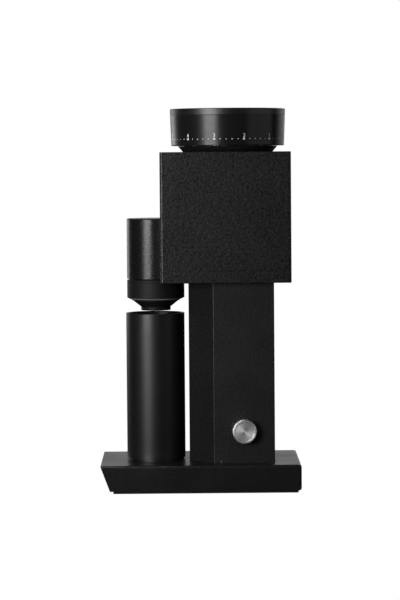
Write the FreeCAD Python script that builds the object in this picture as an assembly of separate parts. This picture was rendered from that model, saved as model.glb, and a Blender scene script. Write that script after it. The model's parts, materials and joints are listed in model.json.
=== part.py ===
import FreeCAD, Part
import math
import os

# Upright electric coffee grinder: a square head on a chamfered column over a flat base, an adjusting dial
# on the head, and a chute on the user's side over a tall cup. Millimetres.
# Frame: origin at the bottom centre of the base, +X to the rear (column side), -X to the user (cup side),
# +Z up. The speed knob is on the -Y side.

os.makedirs("parts", exist_ok=True)
Vec = FreeCAD.Vector

# ---- driving dimensions ----
# Heights are measured from a datum that lies this far above the surface the grinder stands on.
DATUM_HEIGHT = 1.1

BASE_LENGTH = 203.0
BASE_WIDTH = 130.0
BASE_TOP = 27.4
BASE_END_SLOPE = 20.5
BASE_EDGE_R = 2.5
BASE_TIP_R = 0.7
PAD_THICKNESS = 2.6
PAD_INSET = 3.0
SLAB_BOTTOM = PAD_THICKNESS - DATUM_HEIGHT

COLUMN_X0 = -11.2
COLUMN_X1 = 75.4
COLUMN_HALF_WIDTH = 44.6
COLUMN_CHAMFER = 24.8
COLUMN_WALL = 4.0
COLUMN_EDGE_R = 1.0

HEAD_X0 = -39.4
HEAD_X1 = 92.4
HEAD_HALF_WIDTH = 65.0
HEAD_BOTTOM = 211.0
HEAD_TOP = 342.8
HEAD_WALL = 5.0
HEAD_ROOF = 6.0
HEAD_EDGE_R = 2.75
HEAD_RIM_R = 0.8

SPINDLE_X = 30.2
SHAFT_R = 5.0
RUNNING_GAP = 0.05

DIAL_TOP_R = 59.0
DIAL_BOTTOM_R = 57.8
DIAL_GROOVE_DEPTH = 0.5
LID_TOP_EDGE = 0.5
LID_FOOT_EDGE = 0.2
DIAL_BOTTOM = 349.0
DIAL_TOP = 380.4
LID_TOP = 386.8
SEAT_TOP_R = 51.0
SEAT_BOTTOM_R = 46.0

CHUTE_X = -44.8
CHUTE_R = 29.4
CHUTE_TOP = 275.3
CHUTE_BOTTOM = 213.6
COLLAR_TOP = 212.4
COLLAR_EDGE = 194.1
COLLAR_BOTTOM = 191.7
SPOUT_TOP_R = 24.0
NECK_TOP = 184.6
NECK_BOTTOM = 181.1
NECK_R = 15.2
PASSAGE_R = 21.0

CUP_X = -45.5
CUP_R = 30.0
CUP_WALL = 1.6
CUP_TOP = 178.3

KNOB_R = 12.15
KNOB_X = (COLUMN_X0 + COLUMN_CHAMFER + COLUMN_X1) / 2
KNOB_Z = 60.0
KNOB_FACE_Y = -55.6
KNOB_BACK_Y = -46.6

BURR_R = 32.0
BURR_HEIGHT = 8.0
BURR_GAP = 0.8
LOWER_BURR_Z = 245.0

INLET_Z = 62.0


# ---- shape helpers ----
def box(x0, x1, y0, y1, z0, z1):
    return Part.makeBox(x1 - x0, y1 - y0, z1 - z0, Vec(x0, y0, z0))


def rod(x, y, r, z0, z1):
    return Part.makeCylinder(r, z1 - z0, Vec(x, y, z0))


def ring(x, r_out, r_in, z0, z1):
    return rod(x, 0, r_out, z0, z1).cut(rod(x, 0, r_in, z0 - 1, z1 + 1))


def rod_along(axis, r, start, end):
    """A cylinder between two points, along the unit vector axis."""
    return Part.makeCylinder(r, (end - start).Length, start, axis)


def revolved(x, profile):
    """Turns a closed outline of (radius, z) points about the vertical line through x."""
    points = [Vec(x + r, 0, z) for r, z in profile]
    face = Part.Face(Part.makePolygon(points + points[:1]))
    return face.revolve(Vec(x, 0, 0), Vec(0, 0, 1), 360)


def prism(outline, z0, z1):
    """Extrudes a closed outline of (x, y) points from z0 to z1."""
    points = [Vec(x, y, z0) for x, y in outline]
    return Part.Face(Part.makePolygon(points + points[:1])).extrude(Vec(0, 0, z1 - z0))


def around(shape, count, x=SPINDLE_X, start=0.0):
    """Copies of a shape, evenly turned about the vertical line through x."""
    copies = []
    for i in range(count):
        copy = shape.copy()
        copy.rotate(Vec(x, 0, 0), Vec(0, 0, 1), start + 360.0 * i / count)
        copies.append(copy)
    return copies


def cut_all(shape, tools):
    for tool in tools:
        shape = shape.cut(tool)
    return shape


def fuse_all(shapes):
    return shapes[0].multiFuse(shapes[1:]).removeSplitter()


def edges_where(shape, test):
    return [e for e in shape.Edges if test(e)]


def is_along(edge, axis):
    """True for a straight edge that is parallel to axis."""
    if not isinstance(edge.Curve, Part.Line):
        return False
    return edge.tangentAt(edge.FirstParameter).cross(axis).Length < 1e-6


def is_flat_at(edge, z):
    """True for an edge that lies in the horizontal plane at height z."""
    return abs(edge.BoundBox.ZMin - z) < 1e-4 and abs(edge.BoundBox.ZMax - z) < 1e-4


def rounded_vertical(shape, r):
    return shape.makeFillet(r, edges_where(shape, lambda e: is_along(e, Vec(0, 0, 1))))


def rounded_at(shape, r, z):
    return shape.makeFillet(r, edges_where(shape, lambda e: is_flat_at(e, z)))


def save(node, shape):
    """Writes a solid, or a list of separate solids, as one node, raised to its true height."""
    solids = shape if isinstance(shape, list) else [shape]
    raised = [solid.translated(Vec(0, 0, DATUM_HEIGHT)) for solid in solids]
    whole = raised[0] if len(raised) == 1 else Part.makeCompound(raised)
    whole.exportStep("parts/" + node + ".step")


def cap_screw(x, y, z_seat, down, head_r, head_height, shank_r, length):
    """A socket-head screw that stands on z_seat; down is -1 when the shank points down, and 1 when up."""
    head_end = z_seat - down * head_height
    head = rod(x, y, head_r, min(z_seat, head_end), max(z_seat, head_end))
    shank_end = z_seat + down * length
    shank = rod(x, y, shank_r, min(z_seat, shank_end), max(z_seat, shank_end))
    socket_end = head_end + down * head_height * 0.55
    socket = rod(x, y, head_r * 0.45, min(head_end, socket_end), max(head_end, socket_end))
    return head.fuse(shank).cut(socket).removeSplitter()


# ---- base ----
BASE_SCREW_XY = [(10.0, 22.0), (10.0, -22.0), (62.0, 26.0), (62.0, -26.0)]
BASE_SCREW_SEAT = 9.2
BASE_SCREW_HEAD = [5.0, 6.0]
BASE_SCREW_R = 3.0
BASE_SCREW_LENGTH = 24.0
MAGNET_R = 5.0
MAGNET_Z = [21.4, 26.4]
MAGNET_CIRCLE_R = 18.0


def magnet_discs(z0, z1):
    disc = rod(CUP_X + MAGNET_CIRCLE_R, 0, MAGNET_R, z0, z1)
    return around(disc, 3, CUP_X)


def make_base():
    half = BASE_LENGTH / 2
    slope_run = (BASE_TOP - SLAB_BOTTOM) * math.tan(math.radians(BASE_END_SLOPE))
    # Rounding the slanted end's sharp tip draws it back by this much, so the slab starts longer.
    tip_setback = BASE_TIP_R * (1 / math.tan(math.radians(90 - BASE_END_SLOPE) / 2) - 1)
    side = [
        Vec(-half - tip_setback, -BASE_WIDTH / 2, BASE_TOP),
        Vec(half, -BASE_WIDTH / 2, BASE_TOP),
        Vec(half, -BASE_WIDTH / 2, SLAB_BOTTOM),
        Vec(-half - tip_setback + slope_run, -BASE_WIDTH / 2, SLAB_BOTTOM),
    ]
    slab = Part.Face(Part.makePolygon(side + side[:1])).extrude(Vec(0, BASE_WIDTH, 0))
    rounded = edges_where(
        slab,
        lambda e: e.BoundBox.XMin > half - 0.01 or (is_flat_at(e, BASE_TOP) and is_along(e, Vec(1, 0, 0))),
    )
    slab = slab.makeFillet(BASE_EDGE_R, rounded)
    tip = edges_where(slab, lambda e: e.BoundBox.XMax < -half + slope_run + 3.0)
    slab = slab.makeFillet(BASE_TIP_R, tip)
    tools = [rod(x, y, BASE_SCREW_HEAD[0] + 0.3, 0, BASE_SCREW_SEAT) for x, y in BASE_SCREW_XY]
    tools += [rod(x, y, BASE_SCREW_R + 0.1, 0, BASE_TOP + 1) for x, y in BASE_SCREW_XY]
    tools += magnet_discs(0, MAGNET_Z[1])
    save("base_plate", cut_all(slab, tools))

    pad = box(
        -half + slope_run + PAD_INSET,
        half - PAD_INSET,
        -BASE_WIDTH / 2 + PAD_INSET,
        BASE_WIDTH / 2 - PAD_INSET,
        -DATUM_HEIGHT,
        SLAB_BOTTOM,
    )
    pad = rounded_vertical(pad, BASE_EDGE_R)
    save("foot_pad", pad)
    save(
        "base_screws",
        [
            cap_screw(x, y, BASE_SCREW_SEAT, 1, *BASE_SCREW_HEAD, BASE_SCREW_R, BASE_SCREW_LENGTH)
            for x, y in BASE_SCREW_XY
        ],
    )
    save("cup_magnets", magnet_discs(MAGNET_Z[0], MAGNET_Z[1]))


# ---- column ----
COLUMN_FOOT_TOP = BASE_TOP + 8.0
PANEL_HALF_WIDTH = 36.0
PANEL_Z = [36.0, 154.0]
PANEL_THICKNESS = 2.0
PANEL_LEDGE = 7.0
PANEL_GAP = 0.2
PANEL_SCREW_R = 1.5
PANEL_SCREW_INSET = 3.6
VENT_Z = [100.0 + 7.0 * i for i in range(7)]
VENT_HALF_WIDTH = 20.0
VENT_HEIGHT = 2.6
TIE_ROD_XY = [(14.5, 32.5), (14.5, -32.5), (62.0, 34.0), (62.0, -34.0)]
TIE_ROD_R = 2.5
TIE_NUT = [4.0, 4.5]
GRUB_X = 20.7
GRUB_Z = BASE_TOP + 1.4
GRUB_R = 0.8
INLET_HALF = [13.5, 9.8]
INLET_FLANGE_HALF = [15.5, 12.0]
INLET_RECESS_HALF = [12.0, 8.0]
INLET_BACK_X = 52.0
INLET_FLANGE_X = [COLUMN_X1 - COLUMN_WALL, COLUMN_X1 - 2.0]
INLET_PIN_X = [58.0, 71.0]
INLET_PIN_YZ = [(-7.0, -2.0), (7.0, -2.0), (0.0, 2.0)]
INLET_RECESS_CORNER = 5.0


def column_outline(inset):
    """The column's section, drawn in by inset on every side."""
    x0 = COLUMN_X0 + inset
    x1 = COLUMN_X1 - inset
    y = COLUMN_HALF_WIDTH - inset
    c = COLUMN_CHAMFER - inset * (2 - math.sqrt(2))
    return [(x0, -y + c), (x0 + c, -y), (x1, -y), (x1, y), (x0 + c, y), (x0, y - c)]


def panel_screw_places():
    y = PANEL_HALF_WIDTH - PANEL_SCREW_INSET
    return [(side * y, z) for side in (-1, 1) for z in (PANEL_Z[0] + 3.6, PANEL_Z[1] - 3.6)]


def flat_head_screw(y, z):
    """A countersunk screw in the rear panel, its head flush with the panel."""
    start = Vec(COLUMN_X1 - 8.0, y, z)
    shank = rod_along(Vec(1, 0, 0), PANEL_SCREW_R, start, Vec(COLUMN_X1 - 1.7, y, z))
    head = Part.makeCone(PANEL_SCREW_R, 2.9, 1.7, Vec(COLUMN_X1 - 1.7, y, z), Vec(1, 0, 0))
    slot = rod_along(Vec(1, 0, 0), 1.1, Vec(COLUMN_X1 - 1.0, y, z), Vec(COLUMN_X1 + 1, y, z))
    return shank.fuse(head).cut(slot).removeSplitter()


def make_column():
    shell = rounded_vertical(prism(column_outline(0), BASE_TOP, HEAD_BOTTOM), COLUMN_EDGE_R)
    opening_y = PANEL_HALF_WIDTH - PANEL_LEDGE
    tools = [
        prism(column_outline(COLUMN_WALL), BASE_TOP - 1, HEAD_BOTTOM + 1),
        box(
            COLUMN_X1 - PANEL_THICKNESS,
            COLUMN_X1 + 1,
            -PANEL_HALF_WIDTH,
            PANEL_HALF_WIDTH,
            PANEL_Z[0],
            PANEL_Z[1],
        ),
        box(
            COLUMN_X1 - 6,
            COLUMN_X1,
            -opening_y,
            opening_y,
            PANEL_Z[0] + PANEL_LEDGE,
            PANEL_Z[1] - PANEL_LEDGE,
        ),
        rod_along(
            Vec(0, 1, 0),
            ENCODER_BUSH_R,
            Vec(KNOB_X, -COLUMN_HALF_WIDTH - 1, KNOB_Z),
            Vec(KNOB_X, -COLUMN_HALF_WIDTH + COLUMN_WALL, KNOB_Z),
        ),
        rod_along(
            Vec(0, 1, 0),
            GRUB_R,
            Vec(GRUB_X, -COLUMN_HALF_WIDTH - 1, GRUB_Z),
            Vec(GRUB_X, -COLUMN_HALF_WIDTH + COLUMN_WALL, GRUB_Z),
        ),
    ]
    tools += [
        rod_along(Vec(1, 0, 0), PANEL_SCREW_R, Vec(COLUMN_X1 - 8, y, z), Vec(COLUMN_X1, y, z))
        for y, z in panel_screw_places()
    ]
    save("column_shell", cut_all(shell, tools))

    foot = prism(column_outline(COLUMN_WALL), BASE_TOP, COLUMN_FOOT_TOP)
    holes = [rod(x, y, BASE_SCREW_R, 0, COLUMN_FOOT_TOP + 1) for x, y in BASE_SCREW_XY]
    save("column_foot", cut_all(foot, holes))

    grub = rod_along(
        Vec(0, 1, 0),
        GRUB_R,
        Vec(GRUB_X, -COLUMN_HALF_WIDTH, GRUB_Z),
        Vec(GRUB_X, -COLUMN_HALF_WIDTH + COLUMN_WALL, GRUB_Z),
    )
    save("column_grub_screw", grub)

    rods = []
    for x, y in TIE_ROD_XY:
        nut = prism(hexagon(x, y, TIE_NUT[0]), COLUMN_FOOT_TOP, COLUMN_FOOT_TOP + TIE_NUT[1])
        rods.append(rod(x, y, TIE_ROD_R, COLUMN_FOOT_TOP, PLATE_TOP).fuse(nut).removeSplitter())
    save("tie_rods", rods)


def hexagon(x, y, across_half):
    """The corners of a hexagon whose flats are across_half from its centre."""
    r = across_half / math.cos(math.radians(30))
    return [
        (x + r * math.cos(math.radians(60 * i)), y + r * math.sin(math.radians(60 * i)))
        for i in range(6)
    ]


def make_rear_panel():
    half = PANEL_HALF_WIDTH - PANEL_GAP
    z0 = PANEL_Z[0] + PANEL_GAP
    z1 = PANEL_Z[1] - PANEL_GAP
    panel = box(COLUMN_X1 - PANEL_THICKNESS, COLUMN_X1, -half, half, z0, z1)
    inlet_z = [INLET_Z - INLET_HALF[1], INLET_Z + INLET_HALF[1]]
    tools = [box(COLUMN_X1 - 5, COLUMN_X1 + 1, -INLET_HALF[0], INLET_HALF[0], *inlet_z)]
    for z in VENT_Z:
        slot = box(COLUMN_X1 - 5, COLUMN_X1 + 1, -VENT_HALF_WIDTH, VENT_HALF_WIDTH, z, z + VENT_HEIGHT)
        ends = edges_where(slot, lambda e: is_along(e, Vec(1, 0, 0)))
        tools.append(slot.makeFillet(VENT_HEIGHT / 2 - 0.05, ends))
    tools += [flat_head_screw_hole(y, z) for y, z in panel_screw_places()]
    save("rear_panel", cut_all(panel, tools))
    save("rear_panel_screws", [flat_head_screw(y, z) for y, z in panel_screw_places()])


def flat_head_screw_hole(y, z):
    cone = Part.makeCone(PANEL_SCREW_R, 2.9, 1.7, Vec(COLUMN_X1 - 1.7, y, z), Vec(1, 0, 0))
    hole = rod_along(Vec(1, 0, 0), PANEL_SCREW_R, Vec(COLUMN_X1 - 8, y, z), Vec(COLUMN_X1, y, z))
    return cone.fuse(hole)


def inlet_recess():
    """The socket's hollow: a rectangle with its two upper corners cut off."""
    y = INLET_RECESS_HALF[0]
    z = INLET_RECESS_HALF[1]
    c = INLET_RECESS_CORNER
    x = INLET_PIN_X[0]
    outline = [
        Vec(x, -y, INLET_Z - z),
        Vec(x, y, INLET_Z - z),
        Vec(x, y, INLET_Z + z - c),
        Vec(x, y - c, INLET_Z + z),
        Vec(x, -y + c, INLET_Z + z),
        Vec(x, -y, INLET_Z + z - c),
    ]
    return Part.Face(Part.makePolygon(outline + outline[:1])).extrude(Vec(COLUMN_X1 - x + 1, 0, 0))


def make_inlet():
    body = box(
        INLET_BACK_X,
        COLUMN_X1,
        -INLET_HALF[0],
        INLET_HALF[0],
        INLET_Z - INLET_HALF[1],
        INLET_Z + INLET_HALF[1],
    )
    flange = box(
        INLET_FLANGE_X[0],
        INLET_FLANGE_X[1],
        -INLET_FLANGE_HALF[0],
        INLET_FLANGE_HALF[0],
        INLET_Z - INLET_FLANGE_HALF[1],
        INLET_Z + INLET_FLANGE_HALF[1],
    )
    corners = edges_where(flange, lambda e: is_along(e, Vec(1, 0, 0)))
    flange = flange.makeFillet(1.5, corners)
    save("power_inlet", body.fuse(flange).cut(inlet_recess()).removeSplitter())
    pins = []
    for y, z in INLET_PIN_YZ:
        pins.append(box(*INLET_PIN_X, y - 1.0, y + 1.0, INLET_Z + z - 2.0, INLET_Z + z + 2.0))
    save("inlet_pins", pins)


# ---- controls inside the column ----
BOARD_Y = [26.0, 27.6]
BOARD_X = [5.0, 67.0]
BOARD_Z = [42.0, 104.0]
STANDOFF_XZ = [(24.0, 48.0), (54.0, 48.0), (24.0, 98.0), (54.0, 98.0)]
STANDOFF_R = 3.0
STANDOFF_SCREW_R = 1.6
CAPACITORS = [(38.0, 54.0, 5.0, 14.0), (38.0, 68.0, 5.0, 14.0), (60.0, 86.0, 4.0, 11.0)]
CHIP_XZ = [(12.0, 50.0), (50.0, 70.0)]
CHIP_HALF = 4.0
CHIP_HEIGHT = 2.0
SINK_X = [9.0, 45.0]
SINK_Z = [78.0, 94.0]
SINK_DEPTH = 14.0
SINK_PLATE = 3.0
SINK_FIN_PITCH = 5.0
SINK_GAP_WIDTH = 2.6
SINK_GAP_COUNT = 7
ENCODER_BUSH_R = 4.1
ENCODER_BUSH_LENGTH = 2.6
ENCODER_NUT_R = 5.6
ENCODER_NUT_THICKNESS = 2.0
ENCODER_HALF = 7.0
ENCODER_BACK_Y = -29.0
ENCODER_ROTOR_Y = [-39.4, -31.6]
ENCODER_ROTOR_R = 5.1
KNOB_SHAFT_R = 3.0
KNOB_SHAFT_END_Y = KNOB_FACE_Y + 2.5
KNOB_DISH_R = 9.4
KNOB_DISH_DEPTH = 0.5
KNOB_RIM_R = [0.4, 0.9]
KNOB_BACK_BORE = [7.2, 3.0]
POINTER_REACH = [-10.9, 6.2]
POINTER_HALF_WIDTH = 0.6
POINTER_ANGLE = 46.0


def make_electronics():
    board = box(BOARD_X[0], BOARD_X[1], BOARD_Y[0], BOARD_Y[1], BOARD_Z[0], BOARD_Z[1])
    holes = [
        rod_along(Vec(0, 1, 0), STANDOFF_SCREW_R, Vec(x, BOARD_Y[0] - 1, z), Vec(x, BOARD_Y[1] + 1, z))
        for x, z in STANDOFF_XZ
    ]
    save("control_board", cut_all(board, holes))
    wall = COLUMN_HALF_WIDTH - COLUMN_WALL
    save(
        "board_standoffs",
        [
            rod_along(Vec(0, 1, 0), STANDOFF_R, Vec(x, BOARD_Y[1], z), Vec(x, wall, z))
            for x, z in STANDOFF_XZ
        ],
    )
    parts = []
    for x, z, r, length in CAPACITORS:
        end = Vec(x, BOARD_Y[0] - length, z)
        parts.append(rod_along(Vec(0, 1, 0), r, end, Vec(x, BOARD_Y[0], z)))
    for x, z in CHIP_XZ:
        chip_y = [BOARD_Y[0] - CHIP_HEIGHT, BOARD_Y[0]]
        parts.append(box(x - CHIP_HALF, x + CHIP_HALF, *chip_y, z - CHIP_HALF, z + CHIP_HALF))
    save("board_parts", parts)
    sink = box(*SINK_X, BOARD_Y[0] - SINK_DEPTH, BOARD_Y[0], *SINK_Z)
    gaps = []
    for i in range(SINK_GAP_COUNT):
        x = SINK_X[0] + SINK_PLATE + SINK_FIN_PITCH * i
        gap_y = [BOARD_Y[0] - SINK_DEPTH - 1, BOARD_Y[0] - SINK_PLATE]
        gaps.append(box(x, x + SINK_GAP_WIDTH, *gap_y, SINK_Z[0] - 1, SINK_Z[1] + 1))
    save("heat_sink", cut_all(sink, gaps))


def is_face_circle(edge, r):
    """True for the circle of radius r on the knob's front face."""
    bound = edge.BoundBox
    return bound.YMax < KNOB_FACE_Y + 1e-4 and abs(bound.XLength - 2 * r) < 0.01


def make_knob():
    inner_wall = -COLUMN_HALF_WIDTH + COLUMN_WALL
    along = Vec(0, 1, 0)

    def place(y):
        return Vec(KNOB_X, y, KNOB_Z)

    body = box(
        KNOB_X - ENCODER_HALF,
        KNOB_X + ENCODER_HALF,
        inner_wall,
        ENCODER_BACK_Y,
        KNOB_Z - ENCODER_HALF,
        KNOB_Z + ENCODER_HALF,
    )
    bush_start = place(-COLUMN_HALF_WIDTH - ENCODER_BUSH_LENGTH)
    bush = rod_along(along, ENCODER_BUSH_R, bush_start, place(inner_wall))
    nut_start = place(-COLUMN_HALF_WIDTH - ENCODER_NUT_THICKNESS)
    nut = rod_along(along, ENCODER_NUT_R, nut_start, place(-COLUMN_HALF_WIDTH))
    cavity_y = [ENCODER_ROTOR_Y[0] - 0.2, ENCODER_ROTOR_Y[1] + 0.6]
    cavity = rod_along(along, ENCODER_ROTOR_R + 0.1, place(cavity_y[0]), place(cavity_y[1]))
    bore = rod_along(along, KNOB_SHAFT_R + RUNNING_GAP, place(-50), place(ENCODER_ROTOR_Y[1]))
    save("encoder_body", body.fuse(bush).fuse(nut).cut(cavity).cut(bore).removeSplitter())

    rotor = rod_along(along, ENCODER_ROTOR_R, place(ENCODER_ROTOR_Y[0]), place(ENCODER_ROTOR_Y[1]))
    rotor_bore = rod_along(
        along, KNOB_SHAFT_R + RUNNING_GAP, place(ENCODER_ROTOR_Y[0] - 1), place(ENCODER_ROTOR_Y[1] + 1)
    )
    save("encoder_rotor", rotor.cut(rotor_bore))

    dish_y = KNOB_FACE_Y + KNOB_DISH_DEPTH
    profile = [
        (0, dish_y),
        (KNOB_DISH_R, dish_y),
        (KNOB_DISH_R, KNOB_FACE_Y),
        (KNOB_R, KNOB_FACE_Y),
        (KNOB_R, KNOB_BACK_Y - 0.4),
        (KNOB_R - 0.4, KNOB_BACK_Y),
        (KNOB_BACK_BORE[0], KNOB_BACK_Y),
        (KNOB_BACK_BORE[0], KNOB_BACK_Y - KNOB_BACK_BORE[1]),
        (KNOB_SHAFT_R, KNOB_BACK_Y - KNOB_BACK_BORE[1]),
        (KNOB_SHAFT_R, KNOB_SHAFT_END_Y),
        (0, KNOB_SHAFT_END_Y),
    ]
    points = [Vec(KNOB_X + r, y, KNOB_Z) for r, y in profile]
    face = Part.Face(Part.makePolygon(points + points[:1]))
    cap = face.revolve(place(0), along, 360)
    for r, edge_r in ((KNOB_R, KNOB_RIM_R[1]), (KNOB_DISH_R, KNOB_RIM_R[0])):
        cap = cap.makeFillet(edge_r, edges_where(cap, lambda e: is_face_circle(e, r)))
    half = POINTER_HALF_WIDTH
    pointer = box(*POINTER_REACH, -half, half, -half, half)
    ends = [rod_along(along, half, Vec(x, -half, 0), Vec(x, half, 0)) for x in POINTER_REACH]
    pointer = fuse_all([pointer] + ends)
    pointer.rotate(Vec(0, 0, 0), along, POINTER_ANGLE)
    pointer.translate(place(dish_y))
    save("knob", cap.cut(pointer))
    shaft_end = place(ENCODER_ROTOR_Y[1] - 1.2)
    save("knob_shaft", rod_along(along, KNOB_SHAFT_R, place(KNOB_SHAFT_END_Y), shaft_end))


# ---- motor ----
MOTOR_R = 33.0
MOTOR_WALL = 2.0
MOTOR_Z = [119.0, 202.0]
BELL_HEIGHT = 9.0
MOTOR_BEARING_R = 11.0
MOTOR_BEARING_HEIGHT = 7.0
STATOR_Z = [135.0, 185.0]
STATOR_TOOTH_COUNT = 9
STATOR_BORE_R = 18.3
ROTOR_R = 14.0
MAGNET_OUTER_R = 17.6
MOTOR_MAGNET_COUNT = 8
MAGNET_GAP_ANGLE = 2.5
MOTOR_BOLT_CIRCLE_R = 29.2
MOTOR_BOLT_R = 1.5
MOTOR_BOLT_HEAD = [2.7, 3.0]
MOTOR_BOLT_LENGTH = 96.0
MOTOR_VENT_X = [14.0, 24.0]
MOTOR_VENT_HALF_WIDTH = 3.0
MOTOR_VENT_COUNT = 6
STATOR_YOKE_R = 27.0
STATOR_TIP_R = 20.2
STATOR_TOOTH_X = [19.0, 28.0]
STATOR_TOOTH_HALF_WIDTH = 2.5
STATOR_SLOT_HALF_WIDTH = 1.2
COIL_X = [20.6, 26.4]
COIL_HALF_WIDTH = 4.6
COIL_OVERHANG = 4.0
ROTOR_END_GAP = 2.0


def make_motor():
    x = SPINDLE_X
    wall_r = MOTOR_R - MOTOR_WALL
    save("motor_can", ring(x, MOTOR_R, wall_r, MOTOR_Z[0], MOTOR_Z[1]))

    bolt_x = x + MOTOR_BOLT_CIRCLE_R
    bolt_holes = around(rod(bolt_x, 0, MOTOR_BOLT_R, MOTOR_Z[0] - 20, MOTOR_Z[1] + 20), 4, x, 45.0)
    front = rod(x, 0, MOTOR_R, MOTOR_Z[1], HEAD_BOTTOM)
    front = front.cut(rod(x, 0, MOTOR_BEARING_R, MOTOR_Z[1] - 1, MOTOR_Z[1] + MOTOR_BEARING_HEIGHT))
    front = front.cut(rod(x, 0, SHAFT_R + 1, MOTOR_Z[1], HEAD_BOTTOM + 1))
    save("motor_front_bell", cut_all(front, bolt_holes))
    rear = rod(x, 0, MOTOR_R, MOTOR_Z[0] - BELL_HEIGHT, MOTOR_Z[0])
    rear = rear.cut(rod(x, 0, MOTOR_BEARING_R, MOTOR_Z[0] - MOTOR_BEARING_HEIGHT, MOTOR_Z[0] + 1))
    rear = rear.cut(rod(x, 0, SHAFT_R + 1, MOTOR_Z[0] - 20, MOTOR_Z[0]))
    half = MOTOR_VENT_HALF_WIDTH
    vent = box(x + MOTOR_VENT_X[0], x + MOTOR_VENT_X[1], -half, half, MOTOR_Z[0] - 20, MOTOR_Z[0] + 1)
    vents = around(vent, MOTOR_VENT_COUNT, x, 15.0)
    save("motor_rear_bell", cut_all(rear, vents + bolt_holes))
    bolt_seat = MOTOR_Z[0] - BELL_HEIGHT
    bolt = cap_screw(bolt_x, 0, bolt_seat, 1, *MOTOR_BOLT_HEAD, MOTOR_BOLT_R, MOTOR_BOLT_LENGTH)
    save("motor_bolts", around(bolt, 4, x, 45.0))
    bore_r = SHAFT_R + RUNNING_GAP
    save(
        "motor_bearings",
        [
            ring(x, MOTOR_BEARING_R, bore_r, MOTOR_Z[1], MOTOR_Z[1] + MOTOR_BEARING_HEIGHT),
            ring(x, MOTOR_BEARING_R, bore_r, MOTOR_Z[0] - MOTOR_BEARING_HEIGHT, MOTOR_Z[0]),
        ],
    )

    yoke = ring(x, wall_r, STATOR_YOKE_R, *STATOR_Z)
    tooth_x = [x + STATOR_TOOTH_X[0], x + STATOR_TOOTH_X[1]]
    half = STATOR_TOOTH_HALF_WIDTH
    teeth = around(box(*tooth_x, -half, half, *STATOR_Z), STATOR_TOOTH_COUNT)
    tip = ring(x, STATOR_TIP_R, STATOR_BORE_R, *STATOR_Z)
    slot = STATOR_SLOT_HALF_WIDTH
    gap = box(x, x + STATOR_TIP_R + 0.8, -slot, slot, STATOR_Z[0] - 1, STATOR_Z[1] + 1)
    gaps = around(gap, STATOR_TOOTH_COUNT, x, 180.0 / STATOR_TOOTH_COUNT)
    core = cut_all(fuse_all([yoke, tip] + teeth), gaps)
    save("stator_core", cut_all(core, bolt_holes))
    coil_z = [STATOR_Z[0] - COIL_OVERHANG, STATOR_Z[1] + COIL_OVERHANG]
    coil = box(x + COIL_X[0], x + COIL_X[1], -COIL_HALF_WIDTH, COIL_HALF_WIDTH, *coil_z)
    coil = coil.cut(box(*tooth_x, -half, half, *STATOR_Z))
    save("stator_windings", around(coil, STATOR_TOOTH_COUNT))

    rotor_z = [STATOR_Z[0] + ROTOR_END_GAP, STATOR_Z[1] - ROTOR_END_GAP]
    save("rotor_core", ring(x, ROTOR_R, SHAFT_R, *rotor_z))
    sleeve = ring(x, MAGNET_OUTER_R, ROTOR_R, *rotor_z)
    half_angle = 180.0 / MOTOR_MAGNET_COUNT - MAGNET_GAP_ANGLE
    reach = MAGNET_OUTER_R * 2
    edge = reach * math.tan(math.radians(half_angle))
    wedge = prism([(x, 0), (x + reach, -edge), (x + reach, edge)], *STATOR_Z)
    save("rotor_magnets", around(sleeve.common(wedge), MOTOR_MAGNET_COUNT))


# ---- head ----
PLATE_TOP = HEAD_BOTTOM + 8.0
HOUSING_R = 42.0
CHAMBER_R = 36.0
CHAMBER_FLOOR = 235.0
HOUSING_FIT = 0.05
POCKET_R = CHUTE_R + 0.3
POCKET_WALL_R = POCKET_R + 3.0
PORT_HALF_WIDTH = 11.0
PORT_Z = [236.0, 251.0]
PORT_FLANGE_HALF_WIDTH = 14.0
PORT_FLANGE_Z = [232.0, 255.0]
PORT_FLANGE_X = -11.9
PLATE_SCREW_XY = [(80.0, 53.0), (80.0, -53.0), (-26.0, 53.0), (-26.0, -53.0)]
HOUSING_SCREW_R = 30.0
SCREW_R = 2.0
SCREW_HEAD = [3.5, 4.0]
PLATE_SCREW_LENGTH = 12.0


def port_box(x0, x1, grow=0.0):
    half = PORT_HALF_WIDTH + grow
    return box(x0, x1, -half, half, PORT_Z[0] - grow, PORT_Z[1] + grow)


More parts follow.
